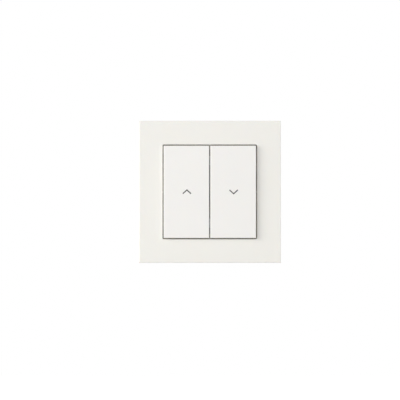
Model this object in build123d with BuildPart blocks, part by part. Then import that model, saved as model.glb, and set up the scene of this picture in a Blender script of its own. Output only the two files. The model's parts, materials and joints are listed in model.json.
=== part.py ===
from build123d import *
import os
from math import cos, pi, radians, sin, sqrt

os.makedirs("parts", exist_ok=True)

# A flush roller shutter push button with two keys, up on the left and down on the right.
# X is to the right, Z is up and +Y goes into the wall, whose surface is the plane y = 0.
# Fronts and rears below are distances in front of the wall, so behind it they are negative.

# Cover frame
frame_size = 84.0
frame_band = 14.1
frame_wall = 2.0
frame_plate = 2.0
frame_edge = 0.6
opening_corner = 0.8
opening_edge = 0.25
collar_wall = 1.6
collar_gap = 1.0
frame_rib = 1.0
rib_place = 16.0
stud_width = 3.0
stud_thick = 1.0
stud_gap = 0.7
stud_depth = 1.8

# Keys
key_gap = 0.6
key_proud = 2.0
key_plate = 1.8
key_skirt = 1.3
key_rear_gap = 1.8
key_edge = 0.45
key_travel = 3.0
key_rib = 1.0
key_rib_inset = 1.0
key_rib_height = 1.4
snap_gap = 2.6
snap_width = 5.0
snap_thick = 1.4
snap_hook = 0.7
snap_clear = 0.2

# Levers and their pins
lever_width = 10.8
lever_plate = 1.8
lever_top_reach = 5.0
lever_tail = 3.0
hub_radius = 2.4
hub_gap = 0.4
pin_radius = 1.0
pin_running = 0.05
pin_seat = 0.02
pin_throat = 1.7
foot_width = 2.0
travel_foot_gap = 3.4
stop_clear = 0.02
nose_radius = 2.0
nose_clear = 0.05

# Bearing plate and the screws that hold it to the base
plate_margin = 0.1
plate_lap = 2.5
plate_thick = 2.0
plate_corner = 2.0
opening_clear = 0.2
post_thick = 1.8
post_clear = 0.2
post_top = 1.4
guide_clear = 0.1
housing_screw_radius = 1.4
housing_screw_head = 2.7
housing_screw_length = 10.6
housing_screw_slot = 0.7
housing_slot_depth = 0.9
screw_clear = 0.1

# Mounting strap
strap_thick = 1.2
strap_corner = 1.8
strap_seat = 1.0
strap_screw_margin = 4.0
strap_lip = 1.2
strap_lip_length = 34.0
box_screw_spacing = 60.0
slot_length = 4.4
slot_radius = 1.75
claw_hole_clear = 0.15

# Clips that take the cover frame's studs
clip_edge = 3.9
clip_plug = 4.9
clip_clear = 0.05
clip_flange = 5.9
clip_flange_thick = 1.0
clip_tube = 4.2
clip_length = 3.8
clip_floor = 0.2
clip_slit = 0.6

# Base housing
base_size = 43.0
base_corner = 4.0
base_edge = 0.7
base_wall = 1.6
chamber_depth = 18.4
base_depth = 26.8
cell_height = 16.3
groove_cut = 3.2
groove_front = 5.7
terminal_floor_depth = 11.4
terminal_floor_thick = 1.6
partition = 1.2
boss_half = 3.0
boss_floor = 1.0
boss_clear = 0.05
screw_end_clear = 1.6
press_margin = 4.9
pedestal_height = 1.8
pedestal_rim = 0.5
peg_height = 1.6
gauge_length = 11.0
gauge_width = 3.0
gauge_depth = 0.7
gauge_place = 15.0
gusset_thick = 1.2
gusset_reach = 5.0
gusset_drop = 6.5

# Terminals and their cover
terminal_margin = 1.5
wire_radius = 1.4
wire_rise = 9.5
wire_clear = 0.1
cover_thick = 3.0
cover_proud = 1.0
cover_edge = 0.4
cover_clear = 0.15
hook_gap = 0.6
hook_width = 4.0
hook_length = 2.4
hook_thick = 1.2
hook_nib = 0.8
hook_lead = 0.3
release_side = 2.0
release_height = 2.6
release_rise = 4.6
release_clear = 0.15
release_proud = 1.8
release_travel = 1.2
release_end_clear = 0.1
release_shoulder = 0.5
shoulder_length = 4.5
release_slot = 0.8
clamp_thick = 0.4
clamp_side = 1.5
clamp_bend = 1.2
clamp_foot = 1.4
clamp_rise = 6.2
clamp_reach = 3.4
clamp_wire_gap = 0.2

# Busbars and contacts
bar_thick = 1.0
bar_width = 3.0
bar_space = 0.3
bar_side = 0.6
common_bar_rise = 4.4
tab_side = 2.0
tab_end_gap = 2.8
tab_clear = 0.15
contact_size = 2.8
fixed_contact_height = 0.63
bridge_end = 1.5
bridge_width = 4.0
bridge_thick = 0.6
bridge_contact_height = 0.9
contact_over = 0.085

# Sliders and their springs
stem_radius = 2.0
flange_size = 6.0
flange_thick = 1.4
flange_clear = 0.6
body_size = 5.0
wing_length = 8.0
wing_thick = 1.6
wing_gap = 0.9
spigot_length = 2.2
spigot_clear = 0.4
spring_side = 0.4
spring_wire = 0.5
spring_turns = 4.5
spring_sides = 12
spring_clear = 0.05

# Fixing claws with their screws and nuts
claw_pivot_in = 1.3
claw_pivot_depth = 7.0
claw_angle = 28.0
claw_length = 15.0
claw_half = 6.0
claw_side = 1.0
claw_thick = 1.2
claw_barrel = 1.2
claw_fork_clear = 0.2
claw_web = 2.8
claw_tip = 2.5
claw_tip_bend = 1.0
claw_tooth = 1.4
trunnion_radius = 0.8
trunnion_hold = 0.9
trunnion_clear = 0.1
trunnion_play = 0.2
claw_screw_gap = 2.7
claw_screw_radius = 1.75
claw_screw_head = 2.5
claw_screw_head_thick = 1.8
claw_screw_edge = 0.4
claw_screw_play = 0.05
claw_screw_tail = 2.1
claw_screw_slot = 0.8
nut_size = 5.5
nut_tongue = 3.3
nut_thick = 2.2
nut_gap = 1.956
nut_clear = 0.05
nut_guide_clear = 0.15

# Sizes that follow from those above: the keys and what stands behind them
sides = {"up": -1, "down": 1}
hands = {"left": -1, "right": 1}
travel = radians(key_travel)
plate_front = strap_thick + plate_thick
pivot_front = plate_front + hub_gap + hub_radius
lever_front = pivot_front + hub_radius
lever_rear = lever_front - lever_plate
key_underside = lever_front + key_rib_height
key_front = key_underside + key_plate
key_rear = plate_front + key_rear_gap
frame_depth = key_front - key_proud
frame_underside = frame_depth - frame_plate
opening_size = frame_size - 2 * frame_band
key_width = (opening_size - 3 * key_gap) / 2
key_height = opening_size - 2 * key_gap
key_centre = (key_gap + key_width) / 2
post_inner = lever_width / 2 + post_clear
post_outer = post_inner + post_thick
plate_width = 2 * (key_centre + post_outer + plate_margin)

# The base and its cells
inner_half = base_size / 2 - base_wall
cell_bottom = inner_half - cell_height
chamber_top = cell_bottom - base_wall
terminal_pitch = (inner_half - terminal_margin) / 2
inner_terminal = terminal_pitch / 2
outer_terminal = inner_terminal + terminal_pitch
terminal_places = [-outer_terminal, -inner_terminal, inner_terminal, outer_terminal]
cell_width = terminal_pitch - partition
groove_inner = base_size / 2 - groove_cut
groove_wall = groove_inner - base_wall
groove_half = claw_half + claw_side
floor_front = -terminal_floor_depth
floor_rear = floor_front - terminal_floor_thick
housing_screw_place = base_size / 2 - boss_half
housing_screws_at = [(0, housing_screw_place), (0, -housing_screw_place)]
strap_opening_width = base_size - 2 * strap_seat
strap_opening_height = 2 * (housing_screw_place + strap_screw_margin)
plate_height = strap_opening_height + 2 * plate_lap
boss_depth = housing_screw_length - plate_front + screw_end_clear + boss_floor
cover_rear = -base_depth - cover_proud
cover_front = cover_rear + cover_thick
hook_place = groove_half + base_wall + hook_gap + hook_width / 2
wire_place = cell_bottom + wire_rise
release_place = cell_bottom + release_rise
release_nose = floor_rear - release_travel - release_end_clear
release_width = cell_width - 2 * release_side
tab_width = cell_width - 2 * tab_side
tab_bottom = wire_place + wire_radius + wire_clear

# The sliders, their springs and the contacts
press_place = inner_half - press_margin
slider_place = outer_terminal
sliders_at = [(side * slider_place, -press_place) for side in sides.values()]
outer_contact = inner_half - bar_side - bar_width / 2
contact_place = outer_contact - slider_place
inner_contact = slider_place - contact_place
stem_top = lever_rear - nose_radius - nose_clear
contact_gap = press_place * sin(travel) + contact_over
bar_front = floor_front + bar_thick
contact_face = bar_front + fixed_contact_height
bridge_contact_face = contact_face + contact_gap
bridge_rear = bridge_contact_face + bridge_contact_height
bridge_front = bridge_rear + bridge_thick
spring_radius = contact_place - contact_size / 2 - spring_side - spring_wire / 2
spigot_size = sqrt(2) * (spring_radius - spring_wire / 2 - spigot_clear)
pedestal_front = base_wall + pedestal_height - chamber_depth
travel_foot_place = press_place - travel_foot_gap
snap_place = travel_foot_place - foot_width / 2 - snap_gap
lever_top = snap_place + lever_top_reach
lever_bottom = press_place + lever_tail

# The strap, its clips and the claws
stud_place = opening_size / 2 + collar_wall + stud_gap + stud_width / 2
strap_size = 2 * (stud_place + clip_edge)
clip_front = strap_thick + clip_length
claw_lean = radians(claw_angle)
claw_pivot_x = groove_inner + claw_pivot_in
claw_fork = claw_screw_radius + claw_fork_clear
claw_screw_place = max(base_size, plate_width) / 2 + claw_screw_gap
claw_head_rear = strap_thick + claw_screw_play
trunnion_end = groove_half + trunnion_hold
nut_depth = claw_pivot_depth + claw_length * cos(claw_lean) + nut_gap
claw_screw_end = nut_depth + nut_thick + claw_screw_tail


def ahead(distance):
    """The plane that lies this far in front of the wall and looks out of it."""
    return Plane.XZ.offset(distance)


def beside(x):
    """The upright plane at x, in which the first axis goes to the front and the second up."""
    return Plane(origin=(x, 0, 0), x_dir=(0, -1, 0), z_dir=(-1, 0, 0))


def block(x_low, x_high, z_low, z_high, mode=Mode.ADD):
    """A rectangle between two sides and two heights, in a plane that faces the front."""
    with Locations(((x_low + x_high) / 2, (z_low + z_high) / 2)):
        Rectangle(x_high - x_low, z_high - z_low, mode=mode)


def side_block(rear, front, z_low, z_high):
    """A rectangle between two depths and two heights, in a plane seen from the side."""
    with Locations(((rear + front) / 2, (z_low + z_high) / 2)):
        Rectangle(front - rear, z_high - z_low)


# Cover frame: a square shell whose collar surrounds the keys
with BuildPart() as cover_frame:
    with BuildSketch(ahead(0)):
        Rectangle(frame_size, frame_size)
    extrude(amount=frame_depth)
    fillet(faces().sort_by(Axis.Y)[0].edges(), radius=frame_edge)
    with BuildSketch(ahead(0)):
        Rectangle(frame_size - 2 * frame_wall, frame_size - 2 * frame_wall)
    extrude(amount=frame_underside, mode=Mode.SUBTRACT)
    collar_rear = plate_front + collar_gap
    with BuildSketch(ahead(collar_rear)):
        Rectangle(opening_size + 2 * collar_wall, opening_size + 2 * collar_wall)
    extrude(amount=frame_underside - collar_rear)
    # Ribs join the collar to the outer wall
    rib_length = frame_band - frame_wall - collar_wall
    rib_middle = opening_size / 2 + collar_wall + rib_length / 2
    with BuildSketch(ahead(collar_rear)):
        with PolarLocations(0, 4):
            with Locations((rib_middle, rib_place), (rib_middle, -rib_place)):
                Rectangle(rib_length, frame_rib)
    extrude(amount=frame_underside - collar_rear)
    # Cross-shaped studs plug into the strap's clips
    stud_end = clip_floor + stud_depth
    with BuildSketch(ahead(stud_end)):
        with GridLocations(2 * stud_place, 2 * stud_place, 2, 2):
            Rectangle(stud_width, stud_thick)
            Rectangle(stud_thick, stud_width)
    extrude(amount=frame_underside - stud_end)
    with BuildSketch(ahead(collar_rear)):
        RectangleRounded(opening_size, opening_size, opening_corner)
    extrude(amount=frame_depth - collar_rear, mode=Mode.SUBTRACT)
    rim = faces().sort_by(Axis.Y)[0].inner_wires()[0]
    chamfer(rim.edges(), length=opening_edge)
cover_frame.part.label = "cover_frame"
export_step(cover_frame.part, "parts/cover_frame.step")

# Keys: two flat caps side by side in the frame, each clipped onto its lever
for name, side in sides.items():
    centre = side * key_centre
    with BuildPart() as rocker:
        with BuildSketch(ahead(key_rear)):
            with Locations((centre, 0)):
                Rectangle(key_width, key_height)
        extrude(amount=key_front - key_rear)
        fillet(faces().sort_by(Axis.Y)[0].edges(), radius=key_edge)
        with BuildSketch(ahead(key_rear)):
            with Locations((centre, 0)):
                Rectangle(key_width - 2 * key_skirt, key_height - 2 * key_skirt)
        extrude(amount=key_underside - key_rear, mode=Mode.SUBTRACT)
        # Two ribs stand on the lever
        rib_offset = lever_width / 2 - key_rib_inset
        with BuildSketch(ahead(lever_front)):
            for way in (-1, 1):
                rib_x = centre + way * rib_offset
                block(rib_x - key_rib / 2, rib_x + key_rib / 2, -lever_bottom, lever_top)
        extrude(amount=key_rib_height)
        # Two snap legs reach through the lever and hook under it
        hook_front = lever_rear - snap_clear / 2
        hook_slope = hook_front - snap_hook / 2
        leg_rear = hook_front - snap_thick
        with BuildSketch(beside(centre)):
            for way in (-1, 1):
                outer = snap_place + snap_thick / 2
                with BuildLine():
                    Polyline(
                        (key_underside, way * (outer - snap_thick)),
                        (leg_rear, way * (outer - snap_thick)),
                        (leg_rear, way * outer),
                        (hook_slope, way * (outer + snap_hook)),
                        (hook_front, way * (outer + snap_hook)),
                        (hook_front, way * outer),
                        (key_underside, way * outer),
                        close=True,
                    )
                make_face()
        extrude(amount=snap_width / 2, both=True)
    rocker.part.label = f"{name}_rocker"
    export_step(rocker.part, f"parts/{name}_rocker.step")

# Levers: each carries a key, turns on its pin and presses its slider with a round nose
for name, side in sides.items():
    centre = side * key_centre
    # The upper foot rests on the bearing plate and the lower one meets it at full travel
    rest_foot_end = plate_front + stop_clear
    foot_edge = travel_foot_place + foot_width / 2
    foot_drop = (pivot_front - rest_foot_end - foot_edge * sin(travel)) / cos(travel)
    with BuildPart() as lever:
        with BuildSketch(beside(centre)):
            side_block(lever_rear, lever_front, -lever_bottom, lever_top)
            side_block(pivot_front, lever_front, -hub_radius, hub_radius)
            with Locations((pivot_front, 0)):
                Circle(hub_radius)
            with Locations((lever_rear, -press_place)):
                Circle(nose_radius)
            side_block(rest_foot_end, lever_rear, lever_top - foot_width, lever_top)
            side_block(pivot_front - foot_drop, lever_rear, -foot_edge, foot_width - foot_edge)
            with Locations((pivot_front, 0)):
                Circle(pin_radius + pin_running, mode=Mode.SUBTRACT)
        extrude(amount=lever_width / 2, both=True)
        # The nose is no taller than the plate in front
        with BuildSketch(ahead(lever_front)):
            with Locations((centre, -press_place)):
                Rectangle(2 * lever_width, 2 * nose_radius)
        extrude(amount=nose_radius, mode=Mode.SUBTRACT)
        # Windows for the key's snap legs
        with BuildSketch(ahead(lever_rear)):
            with Locations((centre, snap_place), (centre, -snap_place)):
                Rectangle(snap_width + 2 * snap_clear, snap_thick + 2 * snap_clear)
        extrude(amount=lever_plate, mode=Mode.SUBTRACT)
    lever.part.label = f"{name}_lever"
    export_step(lever.part, f"parts/{name}_lever.step")

# Pivot pins: plain steel pins through the posts and the lever's hub
for name, side in sides.items():
    with BuildPart() as pivot_pin:
        with BuildSketch(beside(side * key_centre)):
            with Locations((pivot_front, 0)):
                Circle(pin_radius)
        extrude(amount=post_outer, both=True)
    pivot_pin.part.label = f"{name}_pivot_pin"
    export_step(pivot_pin.part, f"parts/{name}_pivot_pin.step")

# Bearing plate: closes the base at the front and holds the levers between its posts
with BuildPart() as bearing_plate:
    with BuildSketch(ahead(strap_thick)):
        Rectangle(plate_width, plate_height)
        chamfer(vertices(), plate_corner)
    extrude(amount=plate_thick)
    with BuildSketch(ahead(0)):
        Rectangle(strap_opening_width - 2 * opening_clear, strap_opening_height - 2 * opening_clear)
    extrude(amount=strap_thick)
    # The pins snap into the posts from the front
    for side in sides.values():
        for way in (-1, 1):
            post_middle = side * key_centre + way * (post_inner + post_outer) / 2
            with BuildSketch(beside(post_middle)):
                side_block(plate_front, pivot_front + post_top, -hub_radius, hub_radius)
            extrude(amount=post_thick / 2, both=True)
    for side in sides.values():
        with BuildSketch(beside(side * key_centre)):
            with Locations((pivot_front, 0)):
                Circle(pin_radius + pin_seat)
            side_block(pivot_front, lever_front, -pin_throat / 2, pin_throat / 2)
        extrude(amount=post_outer, both=True, mode=Mode.SUBTRACT)
    with BuildSketch(ahead(0)):
        with Locations(*sliders_at):
            Circle(stem_radius + guide_clear)
    extrude(amount=plate_front, mode=Mode.SUBTRACT)
    with Locations(*[ahead(plate_front).location * Pos(x, z, 0) for x, z in housing_screws_at]):
        CounterSinkHole(housing_screw_radius + screw_clear, housing_screw_head + screw_clear)
bearing_plate.part.label = "bearing_plate"
export_step(bearing_plate.part, "parts/bearing_plate.step")

# Housing screws: two countersunk slotted screws that cut their thread in the bosses
with BuildPart() as housing_screws:
    head_cone = housing_screw_head - housing_screw_radius
    with BuildSketch(ahead(plate_front)):
        with Locations(*housing_screws_at):
            Circle(housing_screw_head)
    extrude(amount=-head_cone, taper=45)
    with BuildSketch(ahead(plate_front - head_cone)):
        with Locations(*housing_screws_at):
            Circle(housing_screw_radius)
    extrude(amount=head_cone - housing_screw_length)
    with BuildSketch(ahead(plate_front)):
        with Locations(*housing_screws_at):
            Rectangle(2 * housing_screw_head, housing_screw_slot)
    extrude(amount=-housing_slot_depth, mode=Mode.SUBTRACT)
housing_screws.part.label = "housing_screws"
export_step(housing_screws.part, "parts/housing_screws.step")

# Mounting strap: a pressed steel ring with radial slots for the box screws
with BuildPart() as mounting_strap:
    with BuildSketch(ahead(0)):
        Rectangle(strap_size, strap_size)
        chamfer(vertices(), strap_corner)
        Rectangle(strap_opening_width, strap_opening_height, mode=Mode.SUBTRACT)
        with PolarLocations(box_screw_spacing / 2, 4):
            SlotOverall(slot_length, 2 * slot_radius, mode=Mode.SUBTRACT)
        with Locations((-claw_screw_place, 0), (claw_screw_place, 0)):
            Circle(claw_screw_radius + claw_hole_clear, mode=Mode.SUBTRACT)
        with GridLocations(2 * stud_place, 2 * stud_place, 2, 2):
            Rectangle(clip_plug + 2 * clip_clear, clip_plug + 2 * clip_clear, mode=Mode.SUBTRACT)
    extrude(amount=strap_thick)
    # The four edges are turned up to stiffen the ring
    with BuildSketch(ahead(strap_thick)):
        with PolarLocations(strap_size / 2 - strap_thick / 2, 4):
            Rectangle(strap_thick, strap_lip_length)
    extrude(amount=strap_lip)
mounting_strap.part.label = "mounting_strap"
export_step(mounting_strap.part, "parts/mounting_strap.step")

# Frame clips: split plastic sockets in the strap's corners
with BuildPart() as frame_clips:
    flange_front = strap_thick + clip_flange_thick
    with BuildSketch(ahead(0)):
        with GridLocations(2 * stud_place, 2 * stud_place, 2, 2):
            Rectangle(clip_plug, clip_plug)
    extrude(amount=strap_thick)
    with BuildSketch(ahead(strap_thick)):
        with GridLocations(2 * stud_place, 2 * stud_place, 2, 2):
            Rectangle(clip_flange, clip_flange)
    extrude(amount=clip_flange_thick)
    with BuildSketch(ahead(flange_front)):
        with GridLocations(2 * stud_place, 2 * stud_place, 2, 2):
            Rectangle(clip_tube, clip_tube)
    extrude(amount=clip_front - flange_front)
    with BuildSketch(ahead(clip_floor)):
        with GridLocations(2 * stud_place, 2 * stud_place, 2, 2):
            Rectangle(stud_width + 2 * clip_clear, stud_width + 2 * clip_clear)
    extrude(amount=clip_front - clip_floor, mode=Mode.SUBTRACT)
    with BuildSketch(ahead(flange_front + clip_slit)):
        with GridLocations(2 * stud_place, 2 * stud_place, 2, 2):
            Rectangle(clip_flange, clip_slit)
            Rectangle(clip_slit, clip_flange)
    extrude(amount=clip_length, mode=Mode.SUBTRACT)
frame_clips.part.label = "frame_clips"
export_step(frame_clips.part, "parts/frame_clips.step")


def base_outline(inset):
    """The base's square outline with its corners cut off, moved in by this much."""
    Rectangle(base_size, base_size)
    chamfer(vertices(), base_corner)
    if inset > 0:
        offset(amount=-inset, kind=Kind.INTERSECTION, mode=Mode.REPLACE)


def inner_outline(clear):
    """The base's inner outline, which steps in beside the claw grooves."""
    base_outline(base_wall + clear)
    wall = groove_wall - clear
    step = groove_half + base_wall + clear
    block(wall, base_size, -step, step, mode=Mode.SUBTRACT)
    block(-base_size, -wall, -step, step, mode=Mode.SUBTRACT)


# Base housing: open at the front for the contacts and at the rear for the terminals
with BuildPart() as base_housing:
    with BuildSketch(ahead(-chamber_depth)):
        base_outline(0)
    extrude(amount=chamber_depth)
    chamfer(faces().sort_by(Axis.Y)[-1].edges(), length=base_edge)
    with BuildSketch(ahead(-base_depth)):
        base_outline(0)
        block(-base_size, base_size, -base_size, chamber_top, mode=Mode.SUBTRACT)
    extrude(amount=base_depth)
    chamfer(faces().sort_by(Axis.Y)[-1].edges(), length=base_edge)
    # Gussets brace the terminal block from below
    for place in (-terminal_pitch, terminal_pitch):
        with BuildSketch(beside(place)):
            with BuildLine():
                Polyline(
                    (-chamber_depth, chamber_top),
                    (-chamber_depth - gusset_reach, chamber_top),
                    (-chamber_depth, chamber_top - gusset_drop),
                    close=True,
                )
            make_face()
        extrude(amount=gusset_thick / 2, both=True)
    # Grooves for the claws, with their ledge in front
    with BuildSketch(ahead(-base_depth)):
        block(groove_inner, base_size, -groove_half, groove_half)
        block(-base_size, -groove_inner, -groove_half, groove_half)
    extrude(amount=base_depth - groove_front, mode=Mode.SUBTRACT)
    # Hollow from the front, wide above the ledge and stepped in below it
    ledge_depth = groove_front - base_wall
    with BuildSketch(ahead(-ledge_depth)):
        base_outline(base_wall)
    extrude(amount=ledge_depth, mode=Mode.SUBTRACT)
    with BuildSketch(ahead(floor_front)):
        inner_outline(0)
    extrude(amount=terminal_floor_depth - ledge_depth, mode=Mode.SUBTRACT)
    # Contact chamber below and terminal chamber above
    with BuildSketch(ahead(base_wall - chamber_depth)):
        inner_outline(0)
        block(-base_size, base_size, chamber_top, base_size, mode=Mode.SUBTRACT)
    extrude(amount=chamber_depth - base_wall - terminal_floor_depth, mode=Mode.SUBTRACT)
    with BuildSketch(ahead(-base_depth)):
        inner_outline(0)
        block(-base_size, base_size, -base_size, cell_bottom, mode=Mode.SUBTRACT)
    extrude(amount=base_depth + floor_rear, mode=Mode.SUBTRACT)
    with BuildSketch(ahead(cover_front)):
        for place in (-terminal_pitch, 0, terminal_pitch):
            block(place - partition / 2, place + partition / 2, cell_bottom, inner_half)
    extrude(amount=floor_rear - cover_front)
    # Slots that let the busbars' tabs through the terminal floor
    with BuildSketch(ahead(floor_rear)):
        with Locations(*[(x, tab_bottom + bar_thick / 2) for x in terminal_places]):
            Rectangle(tab_width + 2 * tab_clear, bar_thick + 2 * tab_clear)
    extrude(amount=terminal_floor_thick, mode=Mode.SUBTRACT)
    # Bosses for the housing screws, joined to the wall
    boss_reach = inner_half + base_wall / 2
    boss_inner = housing_screw_place - boss_half
    with BuildSketch(ahead(-boss_depth)):
        block(-boss_half, boss_half, boss_inner, boss_reach)
        block(-boss_half, boss_half, -boss_reach, -boss_inner)
    extrude(amount=boss_depth)
    with BuildSketch(ahead(boss_floor - boss_depth)):
        with Locations(*housing_screws_at):
            Circle(housing_screw_radius + boss_clear)
    extrude(amount=boss_depth - boss_floor, mode=Mode.SUBTRACT)
    # Shelves under the fixed contacts, and seats with pegs for the springs
    with BuildSketch(ahead(base_wall - chamber_depth)):
        for x, z in sliders_at:
            with Locations((x - contact_place, z), (x + contact_place, z)):
                Rectangle(bar_width, bar_width)
    extrude(amount=chamber_depth - base_wall - terminal_floor_depth)
    seat_size = 2 * spring_radius + spring_wire + 2 * pedestal_rim
    with BuildSketch(ahead(base_wall - chamber_depth)):
        with Locations(*sliders_at):
            Rectangle(seat_size, seat_size)
    extrude(amount=pedestal_height)
    with BuildSketch(ahead(pedestal_front)):
        with Locations(*sliders_at):
            Rectangle(spigot_size, spigot_size)
    extrude(amount=peg_height)
    # Bearings for the claws' trunnions
    with BuildSketch(Plane.XY):
        with Locations((-claw_pivot_x, claw_pivot_depth), (claw_pivot_x, claw_pivot_depth)):
            Circle(trunnion_radius + trunnion_clear)
    extrude(amount=trunnion_end + trunnion_play, both=True, mode=Mode.SUBTRACT)
    # Windows that the terminal cover's hooks snap into
    with BuildSketch(Plane.XY.offset(hook_place - hook_width / 2 - cover_clear)):
        window_inner = inner_half - base_wall / 2
        window_front = -cover_front - hook_length - cover_clear
        window_rear = -cover_front - hook_nib + cover_clear
        block(window_inner, base_size, window_front, window_rear)
        block(-base_size, -window_inner, window_front, window_rear)
    extrude(amount=hook_width + 2 * cover_clear, mode=Mode.SUBTRACT)
    # A recess at the rear shows how much wire to strip
    with BuildSketch(ahead(-chamber_depth)):
        with Locations((0, -gauge_place)):
            Rectangle(gauge_length, gauge_width)
    extrude(amount=gauge_depth, mode=Mode.SUBTRACT)
base_housing.part.label = "base_housing"
export_step(base_housing.part, "parts/base_housing.step")

# Terminal cover: closes the cells, guides the wires and lets the release levers out
with BuildPart() as terminal_cover:
    with BuildSketch(ahead(cover_rear)):
        inner_outline(cover_clear)
        block(-base_size, base_size, -base_size, cell_bottom + cover_clear, mode=Mode.SUBTRACT)
    extrude(amount=cover_thick)
    chamfer(faces().sort_by(Axis.Y)[-1].edges(), length=cover_edge)
    with BuildSketch(ahead(cover_rear)):
        with Locations(*[(x, wire_place) for x in terminal_places]):
            Circle(wire_radius)
        with Locations(*[(x, release_place) for x in terminal_places]):
            Rectangle(release_width + 2 * release_clear, release_height + 2 * release_clear)
    extrude(amount=cover_thick, mode=Mode.SUBTRACT)
    # Two hooks snap into the base's side walls
    hook_face = inner_half - cover_clear
    hook_root = -cover_front + hook_thick
    hook_end = -cover_front - hook_length
    hook_catch = -cover_front - hook_nib
    with BuildSketch(Plane.XY.offset(hook_place)):
        with BuildLine():
            Polyline(
                (hook_face - hook_thick, hook_root),
                (hook_face - hook_thick, hook_end),
                (hook_face - hook_lead, hook_end),
                (hook_face + hook_nib, hook_end + hook_nib),
                (hook_face + hook_nib, hook_catch),
                (hook_face, hook_catch),
                (hook_face, hook_root),
                close=True,
            )
        make_face()
        mirror(about=Plane.YZ)
    extrude(amount=hook_width / 2, both=True)
terminal_cover.part.label = "terminal_cover"
export_step(terminal_cover.part, "parts/terminal_cover.step")

# Sliders: plungers that the levers press, each carrying its contact bridge on a spigot
for name, place in zip(sides, sliders_at):
    flange_rear = -flange_clear - flange_thick
    with BuildPart() as slider:
        with BuildSketch(ahead(-flange_clear)):
            with Locations(place):
                Circle(stem_radius)
        extrude(amount=stem_top + flange_clear)
        with BuildSketch(ahead(flange_rear)):
            with Locations(place):
                Rectangle(flange_size, flange_size)
        extrude(amount=flange_thick)
        with BuildSketch(ahead(bridge_front)):
            with Locations(place):
                Rectangle(body_size, body_size)
        extrude(amount=flange_rear - bridge_front)
        with BuildSketch(ahead(bridge_front + wing_gap)):
            with Locations(place):
                Rectangle(wing_length, wing_thick)
        extrude(amount=flange_rear - bridge_front - wing_gap)
        with BuildSketch(ahead(bridge_front - spigot_length)):
            with Locations(place):
                Rectangle(spigot_size, spigot_size)
        extrude(amount=spigot_length)
    slider.part.label = f"{name}_slider"
    export_step(slider.part, f"parts/{name}_slider.step")

# Contact bridges: strips with two silver pads, which join the busbars below
for name, place in zip(sides, sliders_at):
    with BuildPart() as contact_bridge:
        with BuildSketch(ahead(bridge_rear)):
            with Locations(place):
                Rectangle(2 * contact_place + 2 * bridge_end, bridge_width)
                Rectangle(spigot_size, spigot_size, mode=Mode.SUBTRACT)
        extrude(amount=bridge_thick)
        with BuildSketch(ahead(bridge_contact_face)):
            with Locations(place):
                with Locations((-contact_place, 0), (contact_place, 0)):
                    Rectangle(contact_size, contact_size)
        extrude(amount=bridge_contact_height)
    contact_bridge.part.label = f"{name}_contact_bridge"
    export_step(contact_bridge.part, f"parts/{name}_contact_bridge.step")

# Return springs: short coils of square wire between the bridges and their seats
for name, place in zip(sides, sliders_at):
    coil_low = pedestal_front + spring_clear + spring_wire / 2
    coil_high = bridge_rear - spring_clear - spring_wire / 2
    steps = round(spring_turns * spring_sides)
    turns = [2 * pi * step / spring_sides for step in range(steps + 1)]
    rise = (coil_high - coil_low) / steps
    with BuildPart() as return_spring:
        with BuildLine(ahead(coil_low)) as coil:
            Polyline(*[
                (place[0] + spring_radius * cos(turn), place[1] + spring_radius * sin(turn), rise * step)
                for step, turn in enumerate(turns)
            ])
        with BuildSketch(Plane(origin=coil.line @ 0, x_dir=(1, 0, 0), z_dir=coil.line % 0)):
            Rectangle(spring_wire, spring_wire)
        sweep(transition=Transition.RIGHT)
    return_spring.part.label = f"{name}_return_spring"
    export_step(return_spring.part, f"parts/{name}_return_spring.step")

# Common busbar: joins both inner contacts to the two supply terminals
with BuildPart() as common_busbar:
    contact_top = bar_width / 2 - press_place
    common_bar_top = cell_bottom + common_bar_rise
    common_bar_low = common_bar_top - bar_width
    with BuildSketch(ahead(floor_front)):
        for way in (-1, 1):
            arm = way * inner_contact
            tab = way * inner_terminal
            block(arm - bar_width / 2, arm + bar_width / 2, contact_top - bar_width, common_bar_top)
            block(tab - tab_width / 2, tab + tab_width / 2, common_bar_low, tab_bottom + bar_thick)
        block(-inner_contact, inner_contact, common_bar_low, common_bar_top)
    extrude(amount=bar_thick)
    with BuildSketch(ahead(cover_front + tab_end_gap)):
        for tab in (-inner_terminal, inner_terminal):
            block(tab - tab_width / 2, tab + tab_width / 2, tab_bottom, tab_bottom + bar_thick)
    extrude(amount=floor_front - cover_front - tab_end_gap)
    with BuildSketch(ahead(bar_front)):
        with Locations((-inner_contact, -press_place), (inner_contact, -press_place)):
            Rectangle(contact_size, contact_size)
    extrude(amount=fixed_contact_height)
common_busbar.part.label = "common_busbar"
export_step(common_busbar.part, "parts/common_busbar.step")

# Motor busbars: each leads from an outer contact, round the claw groove, to its terminal
for name, side in sides.items():
    with BuildPart() as busbar:
        jog_top = -groove_half - base_wall - bar_space
        strip_outer = groove_wall - bar_space
        strip_inner = strip_outer - bar_width
        bar_outer = outer_contact + bar_width / 2
        tab_inner = outer_terminal - tab_width / 2
        tab_top = tab_bottom + bar_thick
        with BuildSketch(ahead(floor_front)):
            block(bar_outer - bar_width, bar_outer, contact_top - bar_width, jog_top)
            block(strip_inner, bar_outer, jog_top - bar_width, jog_top)
            block(strip_inner, strip_outer, jog_top - bar_width, tab_top)
            block(tab_inner, strip_outer, tab_top - bar_width, tab_top)
            if side < 0:
                mirror(about=Plane.YZ, mode=Mode.REPLACE)
        extrude(amount=bar_thick)
        with BuildSketch(ahead(cover_front + tab_end_gap)):
            with Locations((side * outer_terminal, tab_bottom + bar_thick / 2)):
                Rectangle(tab_width, bar_thick)
        extrude(amount=floor_front - cover_front - tab_end_gap)
        with BuildSketch(ahead(bar_front)):
            with Locations((side * outer_contact, -press_place)):
                Rectangle(contact_size, contact_size)
        extrude(amount=fixed_contact_height)
    busbar.part.label = f"{name}_busbar"
    export_step(busbar.part, f"parts/{name}_busbar.step")

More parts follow.
